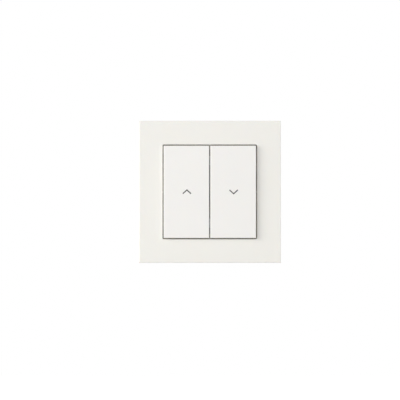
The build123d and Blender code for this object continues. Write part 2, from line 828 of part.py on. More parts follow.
# Clamp springs: bent strips that hold the wires against the tabs
clamp_floor = floor_rear - clamp_thick / 2
clamp_bottom = cell_bottom + clamp_thick / 2
clamp_end = wire_place - wire_radius - clamp_wire_gap - clamp_thick / 2
for number, place in enumerate(terminal_places, start=1):
    with BuildPart() as clamp_spring:
        with BuildSketch(beside(place)):
            with BuildLine():
                FilletPolyline(
                    (cover_front + clamp_foot, clamp_bottom),
                    (clamp_floor, clamp_bottom),
                    (clamp_floor, cell_bottom + clamp_rise),
                    (clamp_floor - clamp_reach, clamp_end),
                    radius=clamp_bend,
                )
            trace(line_width=clamp_thick)
        extrude(amount=cell_width / 2 - clamp_side, both=True)
    clamp_spring.part.label = f"clamp_spring_{number}"
    export_step(clamp_spring.part, f"parts/clamp_spring_{number}.step")

# Release levers: pushed in from the rear, they open the clamp springs
for number, place in enumerate(terminal_places, start=1):
    with BuildPart() as release_lever:
        with BuildSketch(ahead(cover_rear - release_proud)):
            with Locations((place, release_place)):
                Rectangle(release_width, release_height)
        extrude(amount=release_nose - cover_rear + release_proud)
        with BuildSketch(ahead(cover_front + release_clear)):
            with Locations((place, release_place)):
                Rectangle(release_width + 2 * release_shoulder, release_height + release_shoulder)
        extrude(amount=shoulder_length)
        with BuildSketch(ahead(cover_rear - release_proud)):
            with Locations((place, release_place)):
                Rectangle(release_width, release_slot)
        extrude(amount=release_slot, mode=Mode.SUBTRACT)
    release_lever.part.label = f"release_lever_{number}"
    export_step(release_lever.part, f"parts/release_lever_{number}.step")

# Fixing claws: forked steel levers that swing out of the grooves and bite into a box
for name, side in hands.items():
    root = (side * claw_pivot_x, claw_pivot_depth, 0)
    along = (side * sin(claw_lean), cos(claw_lean), 0)
    inward = (-side * cos(claw_lean), sin(claw_lean), 0)
    with BuildPart() as claw:
        with BuildSketch(Plane(origin=root, x_dir=along, z_dir=(0, 0, side))):
            Circle(claw_barrel)
            half = claw_thick / 2
            bend = claw_length - claw_tip
            with BuildLine():
                Polyline(
                    (0, -half),
                    (bend, -half),
                    (claw_length, -half - claw_tip_bend),
                    (claw_length, half - claw_tip_bend),
                    (bend, half),
                    (0, half),
                    close=True,
                )
            make_face()
        extrude(amount=claw_half, both=True)
        with BuildSketch(Plane(origin=root, x_dir=along, z_dir=(0, 0, side))):
            Circle(trunnion_radius)
        extrude(amount=trunnion_end, both=True)
        # The fork clears the screw, and each tine ends in two teeth
        with BuildSketch(Plane(origin=root, x_dir=along, z_dir=inward)):
            with Locations((claw_web, 0)):
                Rectangle(claw_length, 2 * claw_fork, align=(Align.MIN, Align.CENTER))
            tooth_width = (claw_half - claw_fork) / 2
            for way in (-1, 1):
                for notch in (0, 1, 2):
                    across = way * (claw_fork + notch * tooth_width)
                    with BuildLine():
                        Polyline(
                            (claw_length, across - tooth_width / 2),
                            (claw_length - claw_tooth, across),
                            (claw_length, across + tooth_width / 2),
                            close=True,
                        )
                    make_face()
        extrude(amount=claw_length, both=True, mode=Mode.SUBTRACT)
    claw.part.label = f"claw_{name}"
    export_step(claw.part, f"parts/claw_{name}.step")

# Claw screws: slotted screws through the strap, which draw the nuts forward
for name, side in hands.items():
    with BuildPart() as claw_screw:
        with BuildSketch(ahead(claw_head_rear)):
            with Locations((side * claw_screw_place, 0)):
                Circle(claw_screw_head)
        extrude(amount=claw_screw_head_thick)
        chamfer(edges().group_by(Axis.Y)[0], length=claw_screw_edge)
        with BuildSketch(ahead(-claw_screw_end)):
            with Locations((side * claw_screw_place, 0)):
                Circle(claw_screw_radius)
        extrude(amount=claw_screw_end + claw_head_rear)
        with BuildSketch(ahead(claw_head_rear + claw_screw_head_thick)):
            with Locations((side * claw_screw_place, 0)):
                Rectangle(2 * claw_screw_head, claw_screw_slot)
        extrude(amount=-claw_screw_slot, mode=Mode.SUBTRACT)
    claw_screw.part.label = f"claw_screw_{name}"
    export_step(claw_screw.part, f"parts/claw_screw_{name}.step")

# Claw nuts: square nuts with a tongue that slides along the groove and stops them turning
for name, side in hands.items():
    with BuildPart() as claw_nut:
        tongue_end = groove_inner + nut_guide_clear
        tongue_length = claw_screw_place - nut_size / 2 - tongue_end
        with BuildSketch(ahead(-nut_depth - nut_thick)):
            with Locations((side * claw_screw_place, 0)):
                Rectangle(nut_size, nut_size)
                Circle(claw_screw_radius + nut_clear, mode=Mode.SUBTRACT)
            with Locations((side * (tongue_end + tongue_length / 2), 0)):
                Rectangle(tongue_length, nut_tongue)
        extrude(amount=nut_thick)
    claw_nut.part.label = f"claw_nut_{name}"
    export_step(claw_nut.part, f"parts/claw_nut_{name}.step")
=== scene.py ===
import json
import math

import bmesh
import bpy
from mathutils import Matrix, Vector


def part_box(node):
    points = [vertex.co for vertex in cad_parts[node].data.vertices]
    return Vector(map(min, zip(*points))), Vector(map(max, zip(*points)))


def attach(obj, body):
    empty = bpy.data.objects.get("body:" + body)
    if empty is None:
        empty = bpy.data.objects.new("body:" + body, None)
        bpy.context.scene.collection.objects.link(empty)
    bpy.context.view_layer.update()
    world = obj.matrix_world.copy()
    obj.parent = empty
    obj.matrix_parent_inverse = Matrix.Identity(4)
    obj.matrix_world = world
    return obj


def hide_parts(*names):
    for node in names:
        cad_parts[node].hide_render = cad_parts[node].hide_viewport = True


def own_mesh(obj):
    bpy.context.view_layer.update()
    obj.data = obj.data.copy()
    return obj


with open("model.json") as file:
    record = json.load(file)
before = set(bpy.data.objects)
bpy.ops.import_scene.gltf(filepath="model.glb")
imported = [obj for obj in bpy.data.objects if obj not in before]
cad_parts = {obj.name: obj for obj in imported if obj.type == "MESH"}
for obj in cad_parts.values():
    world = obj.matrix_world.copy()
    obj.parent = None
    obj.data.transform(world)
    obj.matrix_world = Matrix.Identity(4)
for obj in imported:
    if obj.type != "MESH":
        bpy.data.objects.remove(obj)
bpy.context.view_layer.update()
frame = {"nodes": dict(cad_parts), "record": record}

# Sizes are in metres unless a name says otherwise. X is to the right, Z up and -Y out of the wall.
MM = 0.001

# Photograph: 400 pixels wide, with the switch a little right of and above its middle
PICTURE_WIDTH = 400
FRAME_LEFT, FRAME_RIGHT = 138.5, 281.2
FRAME_TOP, FRAME_BOTTOM = 121.1, 262.6
# Camera: focal length and sensor width, in millimetres as Blender has them
LENS = 500.0
SENSOR = 36.0

# Painted edge highlight: the cosine between true and softened normal at which an edge's lighter tone, a
# painted highlight, begins and is full
HIGHLIGHT_BEGINS, HIGHLIGHT_FULL = 0.98, 0.80
BEVEL_SAMPLES = 6

# Plastics: index of refraction, how far the gloss wanders, and how light bleeds below the surface
PLASTIC_IOR = 1.53
PLASTIC_GLOSS_SPREAD = 0.04
BLEED_RADIUS = (1.0, 0.72, 0.45)
BLEED_SCALE = 0.8 * MM

# Metals: how far the gloss wanders over the grain's range, and the range of grain times clouds
METAL_GLOSS_SPREAD = 0.10
GRAIN_LOW, GRAIN_HIGH = 0.3, 0.7
MOTTLE_LOW, MOTTLE_HIGH = 0.12, 0.42

# Ink: index of refraction, and the size of its pinholes
INK_IOR = 1.5
INK_SPECK = 0.15 * MM

# Faces that meet at a larger angle are shaded with a sharp edge between them
SHARP_ANGLE = math.radians(35)

nodes = frame["nodes"]


def linear(code):
    """An sRGB hex colour as linear red, green, blue and alpha."""
    values = [int(code[i:i + 2], 16) / 255 for i in (1, 3, 5)]
    return [v / 12.92 if v <= 0.04045 else ((v + 0.055) / 1.055) ** 2.4 for v in values] + [1.0]


def add_node(tree, kind, inputs=None, **settings):
    """One shader node with its settings; an input is a value, or another node's output to link."""
    node = tree.nodes.new(kind)
    for name, value in settings.items():
        setattr(node, name, value)
    for name, value in (inputs or {}).items():
        if isinstance(value, bpy.types.NodeSocket):
            tree.links.new(value, node.inputs[name])
        else:
            node.inputs[name].default_value = value
    return node


def new_material(name):
    """A material with a bare node tree, its output node and its object coordinates in metres."""
    material = bpy.data.materials.new(name)
    material.use_nodes = True
    tree = material.node_tree
    tree.nodes.clear()
    output = tree.nodes.new("ShaderNodeOutputMaterial")
    place = tree.nodes.new("ShaderNodeTexCoord").outputs["Object"]
    return material, tree, output, place


def rounded_edges_and_highlight(tree, edge_mm):
    """A normal that softens sharp edges, and a mask that is 1 along those edges and 0 on the faces, which
    lays a painted highlight there.
    """
    soft = add_node(tree, "ShaderNodeBevel", {"Radius": edge_mm * MM}, samples=BEVEL_SAMPLES)
    true_normal = add_node(tree, "ShaderNodeNewGeometry").outputs["True Normal"]
    match = add_node(tree, "ShaderNodeVectorMath", {0: soft.outputs["Normal"], 1: true_normal},
                     operation="DOT_PRODUCT")
    # This mask marks where the edges get a painted highlight in a lighter tone
    edge_highlight_mask = add_node(tree, "ShaderNodeMapRange",
                    {"Value": match.outputs["Value"], "From Min": HIGHLIGHT_BEGINS, "From Max": HIGHLIGHT_FULL})
    return soft.outputs["Normal"], edge_highlight_mask.outputs["Result"]


def moulded_plastic(name, light, dark, edge_highlight, roughness, grain_mm, grain_depth_mm, cloud_mm,
                    edge_mm, glow):
    """An injection moulded plastic: eroded grain, faint clouds of tone and gloss, and soft edges with a
    painted highlight in a lighter tone.
    """
    material, tree, output, place = new_material(name)
    normal, edge_highlight_mask = rounded_edges_and_highlight(tree, edge_mm)
    cloud = add_node(tree, "ShaderNodeTexNoise",
                     {"Vector": place, "Scale": 1 / (cloud_mm * MM), "Detail": 3.0, "Roughness": 0.55})
    body = add_node(tree, "ShaderNodeMix",
                    {"Factor": cloud.outputs["Fac"], "A": linear(light), "B": linear(dark)},
                    data_type="RGBA")
    # Painted highlight: the edges take a lighter tone than the faces
    colour = add_node(tree, "ShaderNodeMix",
                      {"Factor": edge_highlight_mask, "A": body.outputs["Result"], "B": linear(edge_highlight)}, data_type="RGBA")
    gloss = add_node(tree, "ShaderNodeMapRange",
                     {"Value": cloud.outputs["Fac"], "To Min": roughness - PLASTIC_GLOSS_SPREAD,
                      "To Max": roughness + PLASTIC_GLOSS_SPREAD})
    grain = add_node(tree, "ShaderNodeTexNoise",
                     {"Vector": place, "Scale": 1 / (grain_mm * MM), "Detail": 2.0, "Roughness": 0.6})
    bump = add_node(tree, "ShaderNodeBump",
                    {"Height": grain.outputs["Fac"], "Normal": normal, "Strength": 1.0,
                     "Distance": grain_depth_mm * MM})
    shader = add_node(tree, "ShaderNodeBsdfPrincipled",
                      {"Base Color": colour.outputs["Result"], "Roughness": gloss.outputs["Result"],
                       "Normal": bump.outputs["Normal"], "IOR": PLASTIC_IOR,
                       "Subsurface Weight": glow, "Subsurface Radius": BLEED_RADIUS,
                       "Subsurface Scale": BLEED_SCALE})
    tree.links.new(shader.outputs["BSDF"], output.inputs["Surface"])
    return material


def worked_metal(name, light, dark, edge_highlight, roughness, grain_mm, grain_depth_mm, stretch, cloud_mm,
                 edge_mm):
    """A bare or plated metal: drawn-out grain, clouds in the surface, and soft edges with a painted
    highlight in a lighter tone.
    """
    material, tree, output, place = new_material(name)
    normal, edge_highlight_mask = rounded_edges_and_highlight(tree, edge_mm)
    drawn = add_node(tree, "ShaderNodeMapping", {"Vector": place, "Scale": stretch})
    grain = add_node(tree, "ShaderNodeTexNoise",
                     {"Vector": drawn.outputs["Vector"], "Scale": 1 / (grain_mm * MM), "Detail": 4.0,
                      "Roughness": 0.65})
    cloud = add_node(tree, "ShaderNodeTexNoise",
                     {"Vector": place, "Scale": 1 / (cloud_mm * MM), "Detail": 4.0, "Roughness": 0.6,
                      "Distortion": 0.8})
    mottle = add_node(tree, "ShaderNodeMath", {0: grain.outputs["Fac"], 1: cloud.outputs["Fac"]},
                      operation="MULTIPLY")
    depth = add_node(tree, "ShaderNodeMapRange",
                     {"Value": mottle.outputs[0], "From Min": MOTTLE_LOW, "From Max": MOTTLE_HIGH})
    body = add_node(tree, "ShaderNodeMix",
                    {"Factor": depth.outputs["Result"], "A": linear(light), "B": linear(dark)},
                    data_type="RGBA")
    # Painted highlight: the edges take a lighter tone than the faces
    colour = add_node(tree, "ShaderNodeMix",
                      {"Factor": edge_highlight_mask, "A": body.outputs["Result"], "B": linear(edge_highlight)}, data_type="RGBA")
    gloss = add_node(tree, "ShaderNodeMapRange",
                     {"Value": grain.outputs["Fac"], "From Min": GRAIN_LOW, "From Max": GRAIN_HIGH,
                      "To Min": roughness - METAL_GLOSS_SPREAD, "To Max": roughness + METAL_GLOSS_SPREAD})
    bump = add_node(tree, "ShaderNodeBump",
                    {"Height": grain.outputs["Fac"], "Normal": normal, "Strength": 1.0,
                     "Distance": grain_depth_mm * MM})
    shader = add_node(tree, "ShaderNodeBsdfPrincipled",
                      {"Base Color": colour.outputs["Result"], "Metallic": 1.0,
                       "Roughness": gloss.outputs["Result"], "Normal": bump.outputs["Normal"]})
    tree.links.new(shader.outputs["BSDF"], output.inputs["Surface"])
    return material


def printed_ink(name, shade, speck_shade, roughness):
    """Pad printed ink: an even dull coat with tiny pinholes of tone."""
    material, tree, output, place = new_material(name)
    speck = add_node(tree, "ShaderNodeTexNoise", {"Vector": place, "Scale": 1 / INK_SPECK, "Detail": 2.0})
    colour = add_node(tree, "ShaderNodeMix",
                      {"Factor": speck.outputs["Fac"], "A": linear(shade), "B": linear(speck_shade)},
                      data_type="RGBA")
    shader = add_node(tree, "ShaderNodeBsdfPrincipled",
                      {"Base Color": colour.outputs["Result"], "Roughness": roughness, "IOR": INK_IOR})
    tree.links.new(shader.outputs["BSDF"], output.inputs["Surface"])
    return material


# Colours in each material: the lighter and darker tone of its surface, then the lighter tone of its edges,
# which is a painted highlight.
# Grain finer than about 0.5 mm can't show at this size, so it is drawn that coarse and kept shallow.

# The frame's polycarbonate is moulded in a satin tool: near white, warm, with an even soft sheen
frame_plastic = moulded_plastic(
    "satin_moulded_polycarbonate_frame", "#F3F2EE", "#F0EFEA", "#F4F3F0",
    roughness=0.38, grain_mm=0.5, grain_depth_mm=0.004, cloud_mm=25, edge_mm=0.2, glow=0.08)
# The keys are the same plastic, a touch cooler and smoother because their faces are flat and large
key_plastic = moulded_plastic(
    "satin_moulded_polycarbonate_keys", "#F5F4F2", "#F2F1EF", "#F6F5F3",
    roughness=0.36, grain_mm=0.5, grain_depth_mm=0.004, cloud_mm=20, edge_mm=0.15, glow=0.08)
# Undyed acetal of the levers and sliders: a milky waxy white that slides without grease
inner_plastic = moulded_plastic(
    "natural_moulded_acetal", "#CFCABB", "#C4BEAE", "#DAD6C9",
    roughness=0.45, grain_mm=0.5, grain_depth_mm=0.006, cloud_mm=8, edge_mm=0.15, glow=0.1)
# Glass-filled polyamide of the base: a dull dark grey with faint flecks, and a painted highlight that
# lightens its edges
base_plastic = moulded_plastic(
    "glass_filled_moulded_polyamide_base", "#6E7275", "#606467", "#7C8083",
    roughness=0.55, grain_mm=0.6, grain_depth_mm=0.014, cloud_mm=3, edge_mm=0.25, glow=0.0)
# The terminal cover is a plain polyamide moulding: mid grey and smoother than the base
terminal_plastic = moulded_plastic(
    "mid_grey_moulded_polyamide", "#B5B7B6", "#A8AAA9", "#BFC1C0",
    roughness=0.48, grain_mm=0.5, grain_depth_mm=0.008, cloud_mm=5, edge_mm=0.2, glow=0.0)
# Orange polyamide marks the release levers: strong and even in colour, to be found at once
release_plastic = moulded_plastic(
    "orange_moulded_polyamide", "#D9762B", "#CC6A22", "#E1853C",
    roughness=0.42, grain_mm=0.4, grain_depth_mm=0.005, cloud_mm=3, edge_mm=0.15, glow=0.05)
# The clips' undyed polyamide is a translucent off-white, yellower than the acetal
clip_plastic = moulded_plastic(
    "natural_moulded_polyamide_clips", "#DDD8C4", "#D2CCB6", "#E4E0CF",
    roughness=0.45, grain_mm=0.4, grain_depth_mm=0.006, cloud_mm=3, edge_mm=0.15, glow=0.15)
# Cold rolled sheet, pressed and zinc plated with a yellow passivation: rolling lines and a warm bloom
strap_steel = worked_metal(
    "yellow_passivated_pressed_steel", "#BFBAA8", "#99937F", "#D0CCBF",
    roughness=0.36, grain_mm=0.6, grain_depth_mm=0.010, stretch=(1, 1, 0.08), cloud_mm=7, edge_mm=0.2)
# Screws, nuts and claws: turned or stamped steel, zinc plated clear, bright with bluish shadows
screw_steel = worked_metal(
    "clear_zinc_plated_turned_steel", "#B4B9BC", "#8F9599", "#C8CCCE",
    roughness=0.28, grain_mm=0.5, grain_depth_mm=0.006, stretch=(1, 0.4, 1), cloud_mm=2, edge_mm=0.12)
# Spring wire and strip are drawn through dies: dark, smooth and glossy along their length
spring_steel = worked_metal(
    "drawn_spring_steel", "#A3A29D", "#85847F", "#B5B4AF",
    roughness=0.26, grain_mm=0.4, grain_depth_mm=0.003, stretch=(1, 1, 1), cloud_mm=2, edge_mm=0.08)
# Busbars and bridges: brass strip stamped and left bare, a soft yellow with duller blooms
contact_brass = worked_metal(
    "stamped_bare_brass", "#D8B56A", "#BC9850", "#E3C685",
    roughness=0.32, grain_mm=0.5, grain_depth_mm=0.004, stretch=(1, 1, 0.15), cloud_mm=4, edge_mm=0.12)
# The chevrons' ink is a matt dark grey, which reads as mid grey in strokes this thin
chevron_ink = printed_ink("grey_pad_printed_ink", "#4C4C4B", "#555554", 0.5)
# The terminal signs' ink is near black, so that they read on the grey cover
sign_ink = printed_ink("dark_pad_printed_ink", "#35373A", "#404246", 0.55)

finishes = {
    "frame_plastic": frame_plastic,
    "key_plastic": key_plastic,
    "inner_plastic": inner_plastic,
    "base_plastic": base_plastic,
    "terminal_plastic": terminal_plastic,
    "release_plastic": release_plastic,
    "clip_plastic": clip_plastic,
    "strap_steel": strap_steel,
    "screw_steel": screw_steel,
    "spring_steel": spring_steel,
    "contact_metal": contact_brass,
}
for part in frame["record"]["subparts"]:
    mesh = nodes[part["node"]].data
    mesh.materials.clear()
    mesh.materials.append(finishes[part["material_slot"]])


def new_piece(name, mesh_builder, material, body):
    """A piece made by a mesh builder, riding on a body."""
    mesh = bpy.data.meshes.new(name)
    work = bmesh.new()
    mesh_builder(work)
    bmesh.ops.recalc_face_normals(work, faces=work.faces)
    work.to_mesh(mesh)
    work.free()
    mesh.polygons.foreach_set("use_smooth", [True] * len(mesh.polygons))
    mesh.set_sharp_from_angle(angle=SHARP_ANGLE)
    piece = bpy.data.objects.new(name, mesh)
    bpy.context.scene.collection.objects.link(piece)
    mesh.materials.append(material)
    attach(piece, body)
    return piece


def loft(work, rings):
    """Adds a closed body that runs through rings with the same number of points each."""
    rings = [[work.verts.new(point) for point in ring] for ring in rings]
    for ring, after in zip(rings, rings[1:]):
        for n in range(len(ring)):
            m = (n + 1) % len(ring)
            work.faces.new((ring[n], ring[m], after[m], after[n]))
    work.faces.new(rings[0])
    work.faces.new(rings[-1])


# Chevrons: two printed strokes that meet at a point, one pointing up and one down
CHEVRON_HALF = 2.45 * MM
CHEVRON_RISE = 2.25 * MM
CHEVRON_STROKE = 0.65 * MM
CHEVRON_FILM = 0.02 * MM
CHEVRON_ASIDE = 0.25 * MM


def chevron(key, way):
    """Fills a mesh with the chevron on a key, pointing up for way 1 and down for way -1."""
    low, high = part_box(f"{key}_rocker")
    middle = Vector(((low.x + high.x) / 2 + CHEVRON_ASIDE, low.y, (low.z + high.z) / 2))
    slope = math.atan2(CHEVRON_RISE, CHEVRON_HALF)
    peak, foot = CHEVRON_RISE / 2, -CHEVRON_RISE / 2
    mitre = CHEVRON_STROKE / 2 / math.cos(slope)
    across, along = CHEVRON_STROKE / 2 * math.sin(slope), CHEVRON_STROKE / 2 * math.cos(slope)
    outline = [
        (0, peak + mitre),
        (CHEVRON_HALF + across, foot + along),
        (CHEVRON_HALF - across, foot - along),
        (0, peak - mitre),
        (-CHEVRON_HALF + across, foot - along),
        (-CHEVRON_HALF - across, foot + along),
    ]

    def build(work):
        loft(work, [[middle + Vector((x, -depth, way * z)) for x, z in outline]
                    for depth in (0.0, CHEVRON_FILM)])
    return build


for key, way in (("up", 1), ("down", -1)):
    new_piece(f"{key}_chevron", chevron(key, way), chevron_ink, f"{key}_key")


# Screws: slotted heads and rolled threads in place of the plain turned blanks
SEGMENTS = 32
THREAD_DEPTH = 0.30 * MM
THREAD_CREST = 0.12 * MM
THREAD_SUNK = 0.03 * MM
# The ridge's foot takes this share of the pitch
THREAD_FOOT = 0.9
HEAD_SUNK = 0.02 * MM
SHANK_CHAMFER = 0.4 * MM


def circle(axis, y, radius):
    """A ring of points about a screw's axis."""
    turns = [2 * math.pi * n / SEGMENTS for n in range(SEGMENTS)]
    return [Vector((axis[0] + radius * math.cos(turn), y, axis[1] + radius * math.sin(turn)))
            for turn in turns]


def half_circle(axis, y, radius, slot, way):
    """The part of a ring that lies on one side of a screwdriver slot."""
    start = math.asin(slot / 2 / radius)
    turns = [start + (math.pi - 2 * start) * n / SEGMENTS for n in range(SEGMENTS + 1)]
    return [Vector((axis[0] + radius * math.cos(turn), y, axis[1] + way * radius * math.sin(turn)))
            for turn in turns]


def screw_thread(work, axis, start, end, radius, pitch):
    """A right-handed ridge that winds round a screw's core and fades out at both ends."""
    core = radius - THREAD_DEPTH
    steps = round((end - start) / pitch * SEGMENTS)
    rings = []
    for step in range(steps + 1):
        y = start + (end - start) * step / steps
        fade = min(1.0, step / SEGMENTS, (steps - step) / SEGMENTS)
        crest = core + (radius - core) * fade
        turn = 2 * math.pi * step / SEGMENTS
        across = Vector((math.cos(turn), 0, math.sin(turn)))
        foot = core - THREAD_SUNK
        half = pitch / 2 * THREAD_FOOT
        section = ((foot, -half), (crest, -THREAD_CREST / 2), (crest, THREAD_CREST / 2), (foot, half))
        rings.append([Vector((axis[0], y + shift, axis[1])) + across * reach for reach, shift in section])
    loft(work, rings)


def slotted_screw(work, axis, head, slot, slot_floor, radius, pitch, thread_start, end):
    """A screw: its head runs through depths and radii to its shank, and is slotted to a floor."""
    core = radius - THREAD_DEPTH
    above = [(y, r) for y, r in head if y < slot_floor]
    below = [(y, r) for y, r in head if y > slot_floor]
    share = (slot_floor - above[-1][0]) / (below[0][0] - above[-1][0])
    waist = above[-1][1] + share * (below[0][1] - above[-1][1])
    for way in (-1, 1):
        stations = above + [(slot_floor + HEAD_SUNK, waist)]
        loft(work, [half_circle(axis, y, r, slot, way) for y, r in stations])
    shank = [(thread_start, radius), (thread_start + THREAD_DEPTH, core)]
    tail = [(end - SHANK_CHAMFER, core), (end, core - SHANK_CHAMFER)]
    loft(work, [circle(axis, y, r) for y, r in [(slot_floor, waist)] + below + shank + tail])
    screw_thread(work, axis, thread_start + pitch, end - pitch, radius, pitch)


CLAW_HEAD_THICK = 1.8 * MM
CLAW_HEAD_EDGE = 0.4 * MM
CLAW_SLOT = 0.8 * MM
CLAW_SCREW_RADIUS = 1.75 * MM
CLAW_PITCH = 0.6 * MM
CLAW_THREAD_START = 5.0 * MM


def claw_screw(name):
    """Fills a mesh with a cheese-headed claw screw in the place of its plain node."""
    low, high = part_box(name)
    axis = ((low.x + high.x) / 2, (low.z + high.z) / 2)
    radius = (high.x - low.x) / 2
    front = low.y
    rear = front + CLAW_HEAD_THICK
    head = [(front, radius - CLAW_HEAD_EDGE), (front + CLAW_HEAD_EDGE, radius), (rear, radius),
            (rear, CLAW_SCREW_RADIUS)]

    def build(work):
        slotted_screw(work, axis, head, CLAW_SLOT, front + CLAW_SLOT, CLAW_SCREW_RADIUS, CLAW_PITCH,
                      CLAW_THREAD_START, high.y)
    return build


for hand in ("left", "right"):
    piece = new_piece(f"claw_screw_{hand}_threaded", claw_screw(f"claw_screw_{hand}"), screw_steel,
                      f"{hand}_claw_screw")
    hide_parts(f"claw_screw_{hand}")

HOUSING_SCREW_RADIUS = 1.4 * MM
HOUSING_PITCH = 1.1 * MM
HOUSING_SLOT = 0.7 * MM
HOUSING_SLOT_DEPTH = 0.9 * MM
# The thread begins at the depth of the wall's surface
HOUSING_THREAD_START = 0.0


def housing_screws(work):
    """Fills a mesh with both countersunk screws that hold the bearing plate to the base."""
    low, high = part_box("housing_screws")
    radius = (high.x - low.x) / 2
    cone = radius - HOUSING_SCREW_RADIUS
    head = [(low.y, radius), (low.y + cone, HOUSING_SCREW_RADIUS)]
    for z in (low.z + radius, high.z - radius):
        slotted_screw(work, (0, z), head, HOUSING_SLOT, low.y + HOUSING_SLOT_DEPTH,
                      HOUSING_SCREW_RADIUS, HOUSING_PITCH, HOUSING_THREAD_START, high.y)


piece = new_piece("housing_screws_threaded", housing_screws, screw_steel, "insert")
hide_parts("housing_screws")

# Terminals from left to right, as seen from the front
TERMINALS = {"up": 1, "supply_left": 2, "supply_right": 3, "down": 4}

# Release levers: a crowned press pad with a screwdriver slot, shoulders, and a tapered nose
LEVER_CORNER = 0.2 * MM
CORNER_STEPS = 4
LEVER_CROWN = 0.22 * MM
CROWN_STEPS = 3
LEVER_SLOT = 0.8 * MM
LEVER_SLOT_DEPTH = 0.8 * MM
LIP_SUNK = 0.02 * MM
LEVER_SHOULDER_SIDE = 0.5 * MM
LEVER_SHOULDER_RISE = 0.25 * MM
LEVER_SHOULDER_BACK = 4.95 * MM
LEVER_SHOULDER_LENGTH = 4.5 * MM
LEVER_NOSE_TAPER = 0.8 * MM
# The nose is shorter by a little more than the clamp strip is thick, and clears it when pressed
LEVER_NOSE_SHORT = 0.5 * MM


def rounded_rectangle(x, y, z, half_x, half_z):
    """A ring in an upright plane: a rectangle with rounded corners."""
    ring = []
    for quarter, (way_x, way_z) in enumerate(((1, 1), (-1, 1), (-1, -1), (1, -1))):
        for step in range(CORNER_STEPS + 1):
            turn = math.pi / 2 * (quarter + step / CORNER_STEPS)
            ring.append(Vector((x + way_x * (half_x - LEVER_CORNER) + LEVER_CORNER * math.cos(turn), y,
                                z + way_z * (half_z - LEVER_CORNER) + LEVER_CORNER * math.sin(turn))))
    return ring


def release_lever(name):
    """Fills a mesh with a release lever in the place of its plain node."""
    low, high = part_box(name)
    x, z = (low.x + high.x) / 2, (low.z + high.z) / 2
    shoulder_x, shoulder_z = (high.x - low.x) / 2, (high.z - low.z) / 2
    half_x, half_z = shoulder_x - LEVER_SHOULDER_SIDE, shoulder_z - LEVER_SHOULDER_RISE
    nose = low.y + LEVER_NOSE_SHORT
    slot_floor = high.y - LEVER_SLOT_DEPTH
    shoulder = high.y - LEVER_SHOULDER_BACK
    lip_half = (half_z - LEVER_SLOT / 2) / 2

    def build(work):
        body = [(nose, half_x - LEVER_NOSE_TAPER / 2, half_z - LEVER_NOSE_TAPER),
                (nose + LEVER_NOSE_TAPER, half_x, half_z), (slot_floor, half_x, half_z)]
        loft(work, [rounded_rectangle(x, y, z, wide, tall) for y, wide, tall in body])
        loft(work, [rounded_rectangle(x, y, z, shoulder_x, shoulder_z)
                    for y in (shoulder - LEVER_SHOULDER_LENGTH, shoulder)])
        turns = [math.pi / 2 * n / CROWN_STEPS for n in range(CROWN_STEPS + 1)]
        crown = [(high.y - LEVER_CROWN * (1 - math.sin(turn)), LEVER_CROWN * (1 - math.cos(turn)))
                 for turn in turns]
        for way in (-1, 1):
            lip_z = z + way * (LEVER_SLOT / 2 + lip_half)
            loft(work, [rounded_rectangle(x, y, lip_z, half_x - inset, lip_half - inset)
                        for y, inset in [(slot_floor - LIP_SUNK, 0.0)] + crown])
    return build


for number in TERMINALS.values():
    piece = new_piece(f"release_lever_{number}_moulded", release_lever(f"release_lever_{number}"),
                      release_plastic, f"release_{number}")
    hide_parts(f"release_lever_{number}")

# Return springs: round wire coils with closed ends
SPRING_RADIUS = 1.95 * MM
SPRING_WIRE = 0.5 * MM
SPRING_TURNS = 4.5
SPRING_STEPS = 40
WIRE_SIDES = 12
END_CLOSING = 0.6


def coil_spring(key):
    """Fills a mesh with the return spring of a key, from its seat to its contact bridge."""
    low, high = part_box(f"{key}_return_spring")
    bridge_low, bridge_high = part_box(f"{key}_contact_bridge")
    x, z = (bridge_low.x + bridge_high.x) / 2, (bridge_low.z + bridge_high.z) / 2
    rise = high.y - low.y - SPRING_WIRE

    def build(work):
        count = round(SPRING_TURNS * SPRING_STEPS)
        rings = []
        for step in range(count + 1):
            share = step / count
            climbed = share - END_CLOSING * math.sin(2 * math.pi * share) / (2 * math.pi)
            turn = 2 * math.pi * SPRING_TURNS * share
            out = Vector((math.cos(turn), 0, math.sin(turn)))
            middle = Vector((x, high.y - SPRING_WIRE / 2 - rise * climbed, z)) + out * SPRING_RADIUS
            sides = [2 * math.pi * n / WIRE_SIDES for n in range(WIRE_SIDES)]
            rings.append([middle + (out * math.cos(side) + Vector((0, math.sin(side), 0))) * SPRING_WIRE / 2
                          for side in sides])
        loft(work, rings)
    return build


for key in ("up", "down"):
    low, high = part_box(f"{key}_return_spring")
    piece = new_piece(f"{key}_return_spring_coil", coil_spring(key), spring_steel,
                      "insert")
    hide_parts(f"{key}_return_spring")
    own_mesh(piece)

# Terminal signs: printed on the cover beside the wire entries, as they are read from behind
SIGN_SIZE = 1.9 * MM
SIGN_STROKE = 0.42 * MM
SIGN_FILM = 0.03 * MM
SIGN_DROP = 2.9 * MM
# Half the height of a sign
TALL = SIGN_SIZE / 2
# Half the width of a letter
WIDE = 0.7 * TALL
signs = {
    "up": [(-TALL, -TALL), (TALL, -TALL), (0, TALL)],
    "down": [(-TALL, TALL), (TALL, TALL), (0, -TALL)],
    "supply": [
        (-WIDE, TALL), (-WIDE, -TALL), (WIDE, -TALL), (WIDE, SIGN_STROKE - TALL),
        (SIGN_STROKE - WIDE, SIGN_STROKE - TALL), (SIGN_STROKE - WIDE, TALL),
    ],
}


def terminal_sign(outline, number):
    """Fills a mesh with a sign above the wire entry of a terminal."""
    lever_low, lever_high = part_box(f"release_lever_{number}")
    _, cover_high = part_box("terminal_cover")
    place = Vector(((lever_low.x + lever_high.x) / 2, cover_high.y, cover_high.z - SIGN_DROP))

    def build(work):
        loft(work, [[place + Vector((-x, depth, z)) for x, z in outline] for depth in (0.0, SIGN_FILM)])
    return build


